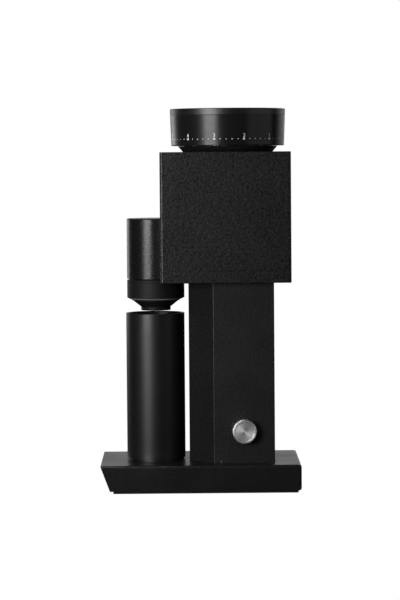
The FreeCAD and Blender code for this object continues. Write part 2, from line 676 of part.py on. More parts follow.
def make_head():
    outer = box(HEAD_X0, HEAD_X1, -HEAD_HALF_WIDTH, HEAD_HALF_WIDTH, HEAD_BOTTOM, HEAD_TOP)
    outer = rounded_vertical(outer, HEAD_EDGE_R)
    outer = rounded_at(outer, HEAD_RIM_R, HEAD_TOP)
    outer = rounded_at(outer, HEAD_RIM_R, HEAD_BOTTOM)
    inner_x = [HEAD_X0 + HEAD_WALL, HEAD_X1 - HEAD_WALL]
    inner_y = HEAD_HALF_WIDTH - HEAD_WALL
    pocket_wall = rod(CHUTE_X, 0, POCKET_WALL_R, HEAD_BOTTOM - 1, CHUTE_TOP + 4.0)
    hollow = box(inner_x[0], inner_x[1], -inner_y, inner_y, HEAD_BOTTOM - 1, HEAD_TOP - HEAD_ROOF)
    tools = [
        hollow.cut(pocket_wall),
        rod(CHUTE_X, 0, POCKET_R, HEAD_BOTTOM - 1, CHUTE_TOP + 0.4),
        rod(SPINDLE_X, 0, HOUSING_R + HOUSING_FIT, HEAD_TOP - HEAD_ROOF - 1, HEAD_TOP + 1),
        port_box(-25.0, -5.0),
    ]
    save("head_shell", cut_all(outer, tools))

    plate = box(inner_x[0], inner_x[1], -inner_y, inner_y, HEAD_BOTTOM, PLATE_TOP)
    tools = [pocket_wall, rod(SPINDLE_X, 0, SHAFT_R + 1, 0, PLATE_TOP + 1)]
    tools += [rod(x, y, SCREW_R, HEAD_BOTTOM - 1, PLATE_TOP + 1) for x, y in PLATE_SCREW_XY]
    sink_z = [HEAD_BOTTOM - 1, HEAD_BOTTOM + SCREW_HEAD[1]]
    tools += [rod(x, y, SCREW_HEAD[0] + 0.2, *sink_z) for x, y in PLATE_SCREW_XY]
    tools += [rod(x, y, TIE_ROD_R, HEAD_BOTTOM - 1, PLATE_TOP + 1) for x, y in TIE_ROD_XY]
    tools += around(rod(SPINDLE_X + MOTOR_BOLT_CIRCLE_R, 0, 1.5, 0, PLATE_TOP + 1), 4, SPINDLE_X, 45.0)
    tools += around(rod(SPINDLE_X + HOUSING_SCREW_R, 0, SCREW_R, 0, PLATE_TOP + 1), 4)
    save("head_bottom_plate", cut_all(plate, tools))
    seat_z = HEAD_BOTTOM + SCREW_HEAD[1]
    length = PLATE_SCREW_LENGTH
    screws = [cap_screw(x, y, seat_z, 1, *SCREW_HEAD, SCREW_R, length) for x, y in PLATE_SCREW_XY]
    save("head_screws", screws)


def make_burr_housing():
    x = SPINDLE_X
    body = rod(x, 0, HOUSING_R, PLATE_TOP, HEAD_TOP)
    boss = box(
        PORT_FLANGE_X,
        x - 30.0,
        -PORT_FLANGE_HALF_WIDTH,
        PORT_FLANGE_HALF_WIDTH,
        PORT_FLANGE_Z[0],
        PORT_FLANGE_Z[1],
    )
    tools = [
        rod(x, 0, CHAMBER_R, CHAMBER_FLOOR, HEAD_TOP + 1),
        rod(x, 0, SLEEVE_FLANGE_R + 0.4, SLEEVE_FLANGE_Z[0] - WASHER_THICKNESS, HEAD_TOP + 1),
        rod(x, 0, MAIN_BEARING_R, MAIN_BEARING_Z[0], MAIN_BEARING_Z[1]),
        rod(x, 0, SEAL_R, SEAL_Z[0], CHAMBER_FLOOR + 1),
        rod(x, 0, SHAFT_R + 1, PLATE_TOP - 1, CHAMBER_FLOOR + 1),
        port_box(PORT_FLANGE_X - 1, x - 30.0),
    ]
    tools += around(rod(x + HOUSING_SCREW_R, 0, SCREW_R, PLATE_TOP - 1, CHAMBER_FLOOR - 4), 4)
    save("burr_housing", cut_all(body.fuse(boss).removeSplitter(), tools))
    gasket = box(
        -20.0,
        PORT_FLANGE_X,
        -PORT_FLANGE_HALF_WIDTH,
        PORT_FLANGE_HALF_WIDTH,
        PORT_FLANGE_Z[0],
        PORT_FLANGE_Z[1],
    )
    save("port_gasket", gasket.cut(rod(CHUTE_X, 0, POCKET_WALL_R, 0, HEAD_TOP)).cut(port_box(-25.0, 0.0)))
    screw = rod(x + HOUSING_SCREW_R, 0, SCREW_R, HEAD_BOTTOM + 0.5, CHAMBER_FLOOR - 5)
    save("housing_studs", around(screw, 4))
    bore_r = SHAFT_R + RUNNING_GAP
    save("main_bearing", ring(x, MAIN_BEARING_R, bore_r, MAIN_BEARING_Z[0], MAIN_BEARING_Z[1]))
    save("shaft_seal", ring(x, SEAL_R, bore_r, SEAL_Z[0], CHAMBER_FLOOR))
    key = box(x + KEY_R, x + CHAMBER_R - 0.05, -KEY_HALF_WIDTH, KEY_HALF_WIDTH, KEY_Z[0], KEY_Z[1])
    save("carrier_keys", around(key, 3, x, 60.0))


# ---- burrs and spindle ----
MAIN_BEARING_R = 13.0
MAIN_BEARING_Z = [220.0, 228.0]
SEAL_R = 11.0
SEAL_Z = [229.5, CHAMBER_FLOOR]
LOWER_CARRIER_Z = [237.0, LOWER_BURR_Z]
LOWER_CARRIER_R = 33.0
UPPER_BURR_Z = LOWER_BURR_Z + BURR_HEIGHT + BURR_GAP
UPPER_CARRIER_Z = UPPER_BURR_Z + BURR_HEIGHT
FLANGE_TOP = UPPER_CARRIER_Z + 8.2
CARRIER_TUBE_R = 32.0
CARRIER_TOP = 331.0
CARRIER_THROAT_R = 13.1
KEY_R = 33.8
KEY_HALF_WIDTH = 1.5
KEY_Z = [263.0, 269.0]
BURR_SCREW_CIRCLE_R = 24.0
BURR_SCREW_R = 1.5
BURR_SCREW_HEAD = [2.7, 1.8]
BURR_SCREW_SINK_R = 3.0
BURR_SCREW_SINK = 3.0
LOWER_BURR_SCREW_LENGTH = 9.5
UPPER_BURR_SCREW_LENGTH = 10.5
LOWER_BURR_BORE_R = 12.0
UPPER_BURR_BORE_R = 14.0
BURR_DISH_R = 27.0
BURR_DISH_DEPTH = 4.0
BURR_GROOVES = 12
BURR_GROOVE_DEPTH = 1.2
BURR_GROOVE_Y = [2.0, 4.6]
SPIGOT_TIP_R = 3.0
SPIGOT_TIP_HEIGHT = 8.0
PADDLE_HALF_WIDTH = 2.0
PADDLE_DROP = 1.2
AUGER_R = 9.0
AUGER_BLADE_R = 11.0
AUGER_BLADE_HALF_WIDTH = 1.2


def burr(z0, z1, bore_r, cutting_z, side):
    """A flat burr: a dished ring with slanting grooves. side is 1 when its cutting face is up, or -1."""
    x = SPINDLE_X
    shape = ring(x, BURR_R, bore_r, z0, z1)
    dish = Part.makeCone(BURR_DISH_R, bore_r, BURR_DISH_DEPTH, Vec(x, 0, cutting_z), Vec(0, 0, -side))
    shape = shape.cut(dish)
    low = min(cutting_z, cutting_z - side * BURR_GROOVE_DEPTH)
    groove_z = [low - 0.5, low + BURR_GROOVE_DEPTH + 0.5]
    groove = box(x + bore_r - 4.0, x + BURR_R + 2, *BURR_GROOVE_Y, *groove_z)
    return cut_all(shape, around(groove, BURR_GROOVES))


def make_spindle():
    x = SPINDLE_X
    shaft = rod(x, 0, SHAFT_R, MOTOR_Z[0] - BELL_HEIGHT - 3, LOWER_BURR_Z)
    tip = rod(x, 0, SPIGOT_TIP_R, LOWER_BURR_Z, LOWER_BURR_Z + SPIGOT_TIP_HEIGHT)
    save("drive_shaft", shaft.fuse(tip).removeSplitter())
    carrier = ring(x, LOWER_CARRIER_R, SHAFT_R, LOWER_CARRIER_Z[0], LOWER_CARRIER_Z[1])
    half = PADDLE_HALF_WIDTH
    paddle_z = [LOWER_CARRIER_Z[0] - PADDLE_DROP, LOWER_CARRIER_Z[1]]
    paddle = box(x + LOWER_CARRIER_R - 2, x + CHAMBER_R - 0.6, -half, half, *paddle_z)
    carrier = fuse_all([carrier] + around(paddle, 3, x, 20.0))
    holes = around(rod(x + BURR_SCREW_CIRCLE_R, 0, BURR_SCREW_R, 0, 300), 3)
    save("lower_burr_carrier", cut_all(carrier, holes))
    lower_top = LOWER_BURR_Z + BURR_HEIGHT
    lower = burr(LOWER_BURR_Z, lower_top, LOWER_BURR_BORE_R, lower_top, 1)
    screw_x = x + BURR_SCREW_CIRCLE_R
    seat_z = LOWER_BURR_Z + BURR_SCREW_SINK
    sinks = around(rod(screw_x, 0, BURR_SCREW_SINK_R, seat_z, lower_top + 1), 3)
    save("lower_burr", cut_all(lower, holes + sinks))
    screw = cap_screw(screw_x, 0, seat_z, -1, *BURR_SCREW_HEAD, BURR_SCREW_R, LOWER_BURR_SCREW_LENGTH)
    save("lower_burr_screws", around(screw, 3))

    cone = revolved(
        x,
        [
            (SPIGOT_TIP_R, LOWER_BURR_Z),
            (AUGER_R, LOWER_BURR_Z),
            (AUGER_R, LOWER_BURR_Z + 3),
            (4.0, LOWER_BURR_Z + 22),
            (0, LOWER_BURR_Z + 24),
            (0, LOWER_BURR_Z + SPIGOT_TIP_HEIGHT),
            (SPIGOT_TIP_R, LOWER_BURR_Z + SPIGOT_TIP_HEIGHT),
        ],
    )
    half = AUGER_BLADE_HALF_WIDTH
    blade = box(x, x + AUGER_BLADE_R, -half, half, LOWER_BURR_Z + 0.5, LOWER_BURR_Z + 9)
    blade = blade.cut(rod(x, 0, SHAFT_R, 0, UPPER_CARRIER_Z))
    save("feed_auger", fuse_all([cone] + around(blade, 3)))


def make_upper_burr():
    x = SPINDLE_X
    flange_z = UPPER_CARRIER_Z
    carrier = revolved(
        x,
        [
            (CARRIER_THROAT_R, flange_z),
            (CHAMBER_R - 0.3, flange_z),
            (CHAMBER_R - 0.3, FLANGE_TOP),
            (CARRIER_TUBE_R, FLANGE_TOP),
            (CARRIER_TUBE_R, CARRIER_TOP),
            (27.0, CARRIER_TOP),
            (27.0, 292.0),
            (CARRIER_THROAT_R, 288.0),
        ],
    )
    slot = box(x + KEY_R - 0.2, x + CHAMBER_R + 1, -KEY_HALF_WIDTH - 0.2, KEY_HALF_WIDTH + 0.2, 255, 280)
    holes = around(rod(x + BURR_SCREW_CIRCLE_R, 0, BURR_SCREW_R, flange_z - 20, flange_z + 8), 3, x, 60.0)
    save("upper_burr_carrier", cut_all(carrier, around(slot, 3, x, 60.0) + holes))
    upper = burr(UPPER_BURR_Z, UPPER_CARRIER_Z, UPPER_BURR_BORE_R, UPPER_BURR_Z, -1)
    screw_x = x + BURR_SCREW_CIRCLE_R
    seat_z = UPPER_CARRIER_Z - BURR_SCREW_SINK
    sinks = around(rod(screw_x, 0, BURR_SCREW_SINK_R, UPPER_BURR_Z - 1, seat_z), 3, x, 60.0)
    save("upper_burr", cut_all(upper, holes + sinks))
    screw = cap_screw(screw_x, 0, seat_z, 1, *BURR_SCREW_HEAD, BURR_SCREW_R, UPPER_BURR_SCREW_LENGTH)
    save("upper_burr_screws", around(screw, 3, x, 60.0))

    height = SPRING_Z[1] - SPRING_Z[0]
    helix = Part.makeHelix(height / 4, height, SPRING_R)
    helix.translate(Vec(x, 0, SPRING_Z[0]))
    section = Part.Wire(Part.makeCircle(SPRING_WIRE_R, Vec(x + SPRING_R, 0, SPRING_Z[0]), Vec(0, 1, 0)))
    save("preload_spring", Part.Wire(helix.Edges).makePipeShell([section], True, True))


# ---- dial ----
SPRING_R = 34.0
SPRING_WIRE_R = 0.7
SPRING_Z = [270.9, 288.2]
SLEEVE_R = CHAMBER_R - RUNNING_GAP
SLEEVE_BORE_R = CARRIER_TUBE_R + RUNNING_GAP
SLEEVE_BOTTOM = 290.0
SLEEVE_FLANGE_R = 38.5
SLEEVE_FLANGE_Z = [336.0, 342.1]
WASHER_THICKNESS = 0.6
DIAL_FLOOR_TOP = DIAL_BOTTOM + 5.0
FUNNEL_LEDGE_Z = 371.0
FUNNEL_LIP_R = 50.8
DIAL_BORE_R = 51.0
DIAL_POCKET_R = 49.0
DIAL_SCREW_CIRCLE_R = 34.0
DIAL_SCREW_R = 1.25
DIAL_SCREW_HEAD = [2.2, 2.5]
DIAL_SCREW_LENGTH = 13.0
DIAL_SCREW_COUNT = 6
LID_PLUG_R = 50.5
LID_PLUG_BOTTOM = 374.4
GASKET_Z = [376.2, 378.2]
FEED_TUBE_R = 12.8
FEED_TUBE_BOTTOM = 276.0
FUNNEL_WALL = 1.5


def dial_radius(z):
    """The dial's outer radius, which grows a little towards the top."""
    share = (z - DIAL_BOTTOM) / (DIAL_TOP - DIAL_BOTTOM)
    return DIAL_BOTTOM_R + share * (DIAL_TOP_R - DIAL_BOTTOM_R)


def make_dial():
    x = SPINDLE_X
    seat = revolved(
        x,
        [
            (SLEEVE_R + 0.4, HEAD_TOP),
            (SEAT_BOTTOM_R, HEAD_TOP),
            (SEAT_TOP_R, DIAL_BOTTOM - 0.3),
            (SLEEVE_R + 0.4, DIAL_BOTTOM - 0.3),
        ],
    )
    save("dial_seat", seat)
    washers = [
        ring(x, SLEEVE_FLANGE_R, SLEEVE_R + 0.1, SLEEVE_FLANGE_Z[0] - WASHER_THICKNESS, SLEEVE_FLANGE_Z[0]),
        ring(x, CHAMBER_R - 0.2, CARRIER_TUBE_R + 0.4, SLEEVE_BOTTOM - 1.0, SLEEVE_BOTTOM),
    ]
    save("thrust_washers", washers)

    groove_z = DIAL_TOP - 0.7
    outline = [
        (SLEEVE_BORE_R, DIAL_BOTTOM),
        (dial_radius(DIAL_BOTTOM) - 0.8, DIAL_BOTTOM),
        (dial_radius(DIAL_BOTTOM + 0.8), DIAL_BOTTOM + 0.8),
        (dial_radius(groove_z), groove_z),
        (DIAL_TOP_R - DIAL_GROOVE_DEPTH, groove_z),
        (DIAL_TOP_R - DIAL_GROOVE_DEPTH, DIAL_TOP),
        (DIAL_BORE_R, DIAL_TOP),
        (DIAL_BORE_R, FUNNEL_LEDGE_Z),
        (DIAL_POCKET_R, FUNNEL_LEDGE_Z),
        (DIAL_POCKET_R, DIAL_FLOOR_TOP),
        (SLEEVE_BORE_R, DIAL_FLOOR_TOP),
    ]
    screw_x = x + DIAL_SCREW_CIRCLE_R
    hole = rod(screw_x, 0, DIAL_SCREW_R, DIAL_BOTTOM - 9, DIAL_FLOOR_TOP + 1)
    dial_holes = around(hole, DIAL_SCREW_COUNT)
    save("dial_ring", cut_all(revolved(x, outline), dial_holes))
    sleeve = ring(x, SLEEVE_R, SLEEVE_BORE_R, SLEEVE_BOTTOM, DIAL_BOTTOM)
    flange = ring(x, SLEEVE_FLANGE_R, SLEEVE_BORE_R, SLEEVE_FLANGE_Z[0], SLEEVE_FLANGE_Z[1])
    save("dial_sleeve", cut_all(sleeve.fuse(flange).removeSplitter(), dial_holes))
    screw = cap_screw(screw_x, 0, DIAL_FLOOR_TOP, -1, *DIAL_SCREW_HEAD, DIAL_SCREW_R, DIAL_SCREW_LENGTH)
    save("dial_screws", around(screw, DIAL_SCREW_COUNT))

    lip_z = FUNNEL_LEDGE_Z + 2.5
    funnel = revolved(
        x,
        [
            (FUNNEL_LIP_R, FUNNEL_LEDGE_Z),
            (FUNNEL_LIP_R, lip_z),
            (FUNNEL_LIP_R - 2.8, lip_z),
            (FEED_TUBE_R - FUNNEL_WALL, 354.0),
            (FEED_TUBE_R - FUNNEL_WALL, FEED_TUBE_BOTTOM),
            (FEED_TUBE_R, FEED_TUBE_BOTTOM),
            (FEED_TUBE_R, 353.0),
            (FUNNEL_LIP_R - 2.4, FUNNEL_LEDGE_Z),
        ],
    )
    save("bean_funnel", funnel)


def make_lid():
    x = SPINDLE_X
    plug_in = 3.6
    lid = revolved(
        x,
        [
            (0, LID_TOP - 1.2),
            (30.0, LID_TOP - 1.2),
            (32.0, LID_TOP - 0.2),
            (DIAL_TOP_R - LID_TOP_EDGE, LID_TOP),
            (DIAL_TOP_R, LID_TOP - LID_TOP_EDGE),
            (DIAL_TOP_R, DIAL_TOP + LID_FOOT_EDGE),
            (DIAL_TOP_R - LID_FOOT_EDGE, DIAL_TOP),
            (LID_PLUG_R, DIAL_TOP),
            (LID_PLUG_R, GASKET_Z[1]),
            (LID_PLUG_R - 1.2, GASKET_Z[1]),
            (LID_PLUG_R - 1.2, GASKET_Z[0]),
            (LID_PLUG_R, GASKET_Z[0]),
            (LID_PLUG_R, LID_PLUG_BOTTOM + 0.5),
            (LID_PLUG_R - 0.5, LID_PLUG_BOTTOM),
            (LID_PLUG_R - plug_in, LID_PLUG_BOTTOM),
            (LID_PLUG_R - plug_in, LID_TOP - 4.2),
            (0, LID_TOP - 4.2),
        ],
    )
    save("hopper_lid", lid)
    save("lid_gasket", ring(x, LID_PLUG_R + 0.3, LID_PLUG_R - 1.2, GASKET_Z[0], GASKET_Z[1]))


# ---- chute and spout ----
CAP_R = 25.5
CAP_HEIGHT = 6.0
SPIGOT_R = 24.6
SPIGOT_TOP = 220.0
SPOUT_SLEEVE_TOP = 205.0


def make_chute():
    x = CHUTE_X
    body = revolved(
        x,
        [
            (SPIGOT_R + 0.3, CHUTE_BOTTOM),
            (CHUTE_R - 0.4, CHUTE_BOTTOM),
            (CHUTE_R, CHUTE_BOTTOM + 0.4),
            (CHUTE_R, CHUTE_TOP - 1.0),
            (CHUTE_R - 1.0, CHUTE_TOP),
            (CAP_R + 0.2, CHUTE_TOP),
            (CAP_R + 0.2, CHUTE_TOP - CAP_HEIGHT),
            (PASSAGE_R, CHUTE_TOP - CAP_HEIGHT),
            (PASSAGE_R, SPIGOT_TOP + 0.6),
            (SPIGOT_R + 0.3, SPIGOT_TOP + 0.6),
        ],
    )
    save("chute_body", body.cut(port_box(CHUTE_X + 10, -5.0)))
    cap = revolved(
        x,
        [
            (0, CHUTE_TOP - CAP_HEIGHT),
            (CAP_R, CHUTE_TOP - CAP_HEIGHT),
            (CAP_R, CHUTE_TOP - 0.4),
            (CAP_R - 0.4, CHUTE_TOP),
            (0, CHUTE_TOP),
        ],
    )
    save("chute_cap", cap)
    collar = revolved(
        x,
        [
            (PASSAGE_R, COLLAR_BOTTOM),
            (SPOUT_TOP_R + 0.5, COLLAR_BOTTOM),
            (CHUTE_R, COLLAR_EDGE),
            (CHUTE_R, COLLAR_TOP - 2.8),
            (CHUTE_R - 0.3, COLLAR_TOP - 2.4),
            (CHUTE_R, COLLAR_TOP - 2.0),
            (CHUTE_R, COLLAR_TOP - 0.5),
            (CHUTE_R - 0.5, COLLAR_TOP),
            (SPIGOT_R, COLLAR_TOP),
            (SPIGOT_R, SPIGOT_TOP),
            (PASSAGE_R, SPIGOT_TOP),
        ],
    )
    save("chute_collar", collar)
    mouth_r = NECK_R - 2.0
    spout = revolved(
        x,
        [
            (mouth_r, NECK_BOTTOM),
            (NECK_R, NECK_BOTTOM),
            (NECK_R, NECK_TOP),
            (SPOUT_TOP_R - 0.7, COLLAR_BOTTOM - 0.7),
            (SPOUT_TOP_R, COLLAR_BOTTOM - 0.6),
            (SPOUT_TOP_R, COLLAR_BOTTOM),
            (PASSAGE_R, COLLAR_BOTTOM),
            (PASSAGE_R, SPOUT_SLEEVE_TOP),
            (PASSAGE_R - 1.2, SPOUT_SLEEVE_TOP),
            (PASSAGE_R - 1.4, COLLAR_BOTTOM + 2),
            (mouth_r, NECK_TOP + 1),
        ],
    )
    save("spout_funnel", spout)


# ---- cup ----
CUP_FOOT_R = 28.6
CUP_FOOT_HEIGHT = 1.6
CUP_FLOOR = 3.4


def make_cup():
    inner_r = CUP_R - CUP_WALL
    floor = BASE_TOP + CUP_FLOOR
    cup = revolved(
        CUP_X,
        [
            (0, BASE_TOP + 0.8),
            (CUP_FOOT_R - 2.5, BASE_TOP + 0.8),
            (CUP_FOOT_R - 2.5, BASE_TOP),
            (CUP_FOOT_R, BASE_TOP),
            (CUP_FOOT_R, BASE_TOP + CUP_FOOT_HEIGHT),
            (CUP_R - 0.3, BASE_TOP + CUP_FOOT_HEIGHT),
            (CUP_R, BASE_TOP + CUP_FOOT_HEIGHT + 0.3),
            (CUP_R, CUP_TOP - 0.4),
            (CUP_R - 0.4, CUP_TOP),
            (inner_r + 0.5, CUP_TOP),
            (inner_r, CUP_TOP - 0.8),
            (inner_r, floor + 3.0),
            (inner_r - 3.0, floor),
            (0, floor),
        ],
    )
    save("cup", cup)


make_base()
make_column()
make_rear_panel()
make_inlet()
make_electronics()
make_knob()
make_motor()
make_head()
make_burr_housing()
make_spindle()
make_upper_burr()
make_dial()
make_lid()
make_chute()
make_cup()
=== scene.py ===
import json
import math

import bmesh
import bpy
from mathutils import Matrix, Vector
from mathutils.bvhtree import BVHTree


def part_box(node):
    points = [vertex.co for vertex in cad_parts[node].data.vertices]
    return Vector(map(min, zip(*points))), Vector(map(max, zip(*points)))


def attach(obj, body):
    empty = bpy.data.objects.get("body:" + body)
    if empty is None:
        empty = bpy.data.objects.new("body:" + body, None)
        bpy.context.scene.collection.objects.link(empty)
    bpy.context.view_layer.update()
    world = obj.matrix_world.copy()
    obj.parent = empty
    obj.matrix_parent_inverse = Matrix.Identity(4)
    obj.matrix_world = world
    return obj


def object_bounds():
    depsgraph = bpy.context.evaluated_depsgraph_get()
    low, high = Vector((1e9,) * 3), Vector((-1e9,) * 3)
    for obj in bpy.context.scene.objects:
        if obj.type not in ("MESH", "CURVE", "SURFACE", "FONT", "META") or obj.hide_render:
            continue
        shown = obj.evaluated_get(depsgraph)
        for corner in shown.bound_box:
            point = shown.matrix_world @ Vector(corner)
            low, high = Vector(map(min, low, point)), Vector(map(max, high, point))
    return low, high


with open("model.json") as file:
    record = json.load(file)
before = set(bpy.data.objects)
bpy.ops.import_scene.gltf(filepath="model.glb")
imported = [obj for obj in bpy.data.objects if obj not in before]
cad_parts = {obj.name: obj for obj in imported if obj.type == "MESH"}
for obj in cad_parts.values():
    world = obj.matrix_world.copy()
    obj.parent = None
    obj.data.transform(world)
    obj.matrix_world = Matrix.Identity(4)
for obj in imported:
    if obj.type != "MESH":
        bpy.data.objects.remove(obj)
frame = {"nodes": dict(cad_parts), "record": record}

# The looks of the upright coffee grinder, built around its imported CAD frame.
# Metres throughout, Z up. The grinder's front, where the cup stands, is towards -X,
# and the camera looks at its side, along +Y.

MM = 0.001
UP = Vector((0, 0, 1))
CAD_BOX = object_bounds()
NODES = frame["nodes"]
SLOT_COLOURS = {m["slot"]: m["base_color"] for m in frame["record"]["materials"]}


# ---- Camera -------------------------------------------------------------------------

CAMERA_PLACE = Vector((-0.01525, -2.56693, 0.33858))
CAMERA_YAW = math.radians(0.354)      # towards +X
CAMERA_PITCH = math.radians(-3.271)   # below the horizon
CAMERA_ROLL = math.radians(-0.45)
CAMERA_SENSOR_MM = 36
CAMERA_LENS_MM = 149.89


def make_camera():
    """The camera at the photograph's viewing angle, set up from its yaw, pitch and roll."""
    data = bpy.data.cameras.new("camera")
    data.sensor_width = CAMERA_SENSOR_MM
    data.lens = CAMERA_LENS_MM
    camera = bpy.data.objects.new("camera", data)
    bpy.context.scene.collection.objects.link(camera)
    forward = Vector((
        math.sin(CAMERA_YAW) * math.cos(CAMERA_PITCH),
        math.cos(CAMERA_YAW) * math.cos(CAMERA_PITCH),
        math.sin(CAMERA_PITCH),
    ))
    right = Vector((math.cos(CAMERA_YAW), -math.sin(CAMERA_YAW), 0))
    up = right.cross(forward)
    across = right * math.cos(CAMERA_ROLL) + up * math.sin(CAMERA_ROLL)
    upward = up * math.cos(CAMERA_ROLL) - right * math.sin(CAMERA_ROLL)
    turn = Matrix((across, upward, -forward)).transposed().to_4x4()
    camera.matrix_world = Matrix.Translation(CAMERA_PLACE) @ turn
    bpy.context.scene.camera = camera


# ---- Node graphs --------------------------------------------------------------------

EDGE_SAMPLES = 4
BEND_SPAN = (0.02, 0.2)    # the bends between which an edge goes from flat to sharp
NOISE_SPAN = (0.3, 0.7)    # the range that holds most of a noise's values


class Graph:
    """A short way to write one node tree."""

    def __init__(self, tree):
        self.tree = tree
        tree.nodes.clear()

    def add(self, kind, inputs=(), **settings):
        """Adds a node. Each input is a value, or another node's output to join to it."""
        node = self.tree.nodes.new("ShaderNode" + kind)
        for name, value in settings.items():
            setattr(node, name, value)
        for name, value in dict(inputs).items():
            if isinstance(value, bpy.types.NodeSocket):
                self.tree.links.new(value, node.inputs[name])
            else:
                node.inputs[name].default_value = value
        return node

    def maths(self, operation, a, b=0.0):
        return self.add("Math", {0: a, 1: b}, operation=operation).outputs[0]

    def vectors(self, operation, a, b=(0, 0, 0)):
        node = self.add("VectorMath", {0: a, 1: b}, operation=operation)
        return node.outputs["Value" if operation in ("DOT_PRODUCT", "LENGTH") else "Vector"]

    def remap(self, value, low, high, new_low, new_high):
        sockets = {"Value": value, "From Min": low, "From Max": high, "To Min": new_low, "To Max": new_high}
        return self.add("MapRange", sockets).outputs["Result"]

    def noise(self, vector, size, detail=2.0):
        """Noise from 0 to 1 whose features are about size metres across."""
        node = self.add("TexNoise", {"Vector": vector, "Scale": 1 / size, "Detail": detail})
        return node.outputs[0]

    def lines(self, value, pitch, detail=3.0):
        """Irregular parallel lines from 0 to 1, pitch metres apart, that follow one number."""
        node = self.add("TexNoise", {"W": value, "Scale": 1 / pitch, "Detail": detail}, noise_dimensions="1D")
        return node.outputs[0]

    def cells(self, vector, size):
        """The distance to the nearest of many scattered points, about size metres apart."""
        node = self.add("TexVoronoi", {"Vector": vector, "Scale": 1 / size})
        return node.outputs["Distance"]

    def tint(self, factor, a, b):
        node = self.add("Mix", data_type="RGBA")
        for index, value in ((0, factor), (6, a), (7, b)):
            if isinstance(value, bpy.types.NodeSocket):
                self.tree.links.new(value, node.inputs[index])
            else:
                node.inputs[index].default_value = value
        return node.outputs[2]

    def place(self):
        """Where a point is on its piece. The pieces lie in the frame's own coordinates."""
        return self.add("TexCoord").outputs["Object"]

    def edges(self, radius):
        """Near 1 on a sharp outer or inner edge, and 0 on flat ground."""
        soft = self.add("Bevel", {"Radius": radius}, samples=EDGE_SAMPLES).outputs[0]
        true = self.add("NewGeometry").outputs["True Normal"]
        bend = self.maths("SUBTRACT", 1.0, self.vectors("DOT_PRODUCT", soft, true))
        return self.remap(bend, *BEND_SPAN, 0.0, 1.0)

    def bump(self, height, distance, normal=None):
        sockets = {"Height": height, "Distance": distance, "Strength": 1.0}
        if normal is not None:
            sockets["Normal"] = normal
        return self.add("Bump", sockets).outputs[0]

    def finish(self, **inputs):
        """Adds the surface shader and the output. Keywords are socket names with _ for a space."""
        named = {name.replace("_", " "): value for name, value in inputs.items()}
        shader = self.add("BsdfPrincipled", named)
        self.add("OutputMaterial", {"Surface": shader.outputs[0]})


def new_graph(name):
    material = bpy.data.materials.new(name + "_finish")
    material.use_nodes = True
    return material, Graph(material.node_tree)


def shade(colour, by):
    """A colour made lighter or darker, with its alpha."""
    return tuple(min(1.0, part * by) for part in colour[:3]) + (1.0,)


# ---- Materials ----------------------------------------------------------------------

WORN_COAT = 4.0      # how much paler than itself a coat is where it has worn thin
WORN_METAL = 1.3     # the same for bare metal that has been rubbed bright
PAINTED_HIGHLIGHT_PALENESS = 60.0     # how much paler than its coat the collar's slanted lower edge is painted: a painted highlight
PAINTED_HIGHLIGHT_LEVELS = (0.6 * MM, 2.1 * MM)   # where the painted highlight band starts and ends, above the collar's foot


def coated_metal(slot, roughness, grain, depth, speckle=0.25, wear=0.5, specular=0.5, sparkle=0.03,
                 name=None):
    """A dark coat over blasted metal: fine pits, slow clouding of the gloss and paler worn edges.
    grain is the pits' size and depth their height, both in metres. speckle and sparkle are how much
    the colour and the gloss change from pit to pit."""
    material, graph = new_graph(name or slot)
    colour = SLOT_COLOURS[slot]
    place = graph.place()
    pits = graph.noise(place, grain, detail=2.0)
    swells = graph.noise(place, grain * 2.3, detail=1.0)
    clouds = graph.noise(place, 38 * MM, detail=3.0)
    edges = graph.edges(0.5 * MM)
    scuffs = graph.maths("MULTIPLY", edges, graph.remap(graph.noise(place, 2.2 * MM), 0.35, 0.75, 0.0, wear))
    height = graph.maths("ADD", pits, graph.maths("MULTIPLY", swells, 0.8))
    grainy = graph.tint(pits, shade(colour, 1 - speckle), shade(colour, 1 + speckle))
    edge_tinted = graph.tint(scuffs, grainy, shade(colour, WORN_COAT))
    gloss = graph.remap(clouds, *NOISE_SPAN, roughness - 0.03, roughness + 0.03)
    gloss = graph.maths("ADD", gloss, graph.remap(pits, *NOISE_SPAN, -sparkle, sparkle))
    gloss = graph.maths("SUBTRACT", gloss, graph.maths("MULTIPLY", scuffs, 0.08))
    graph.finish(
        Base_Color=edge_tinted, Roughness=gloss, Normal=graph.bump(height, depth), Specular_IOR_Level=specular
    )
    return material


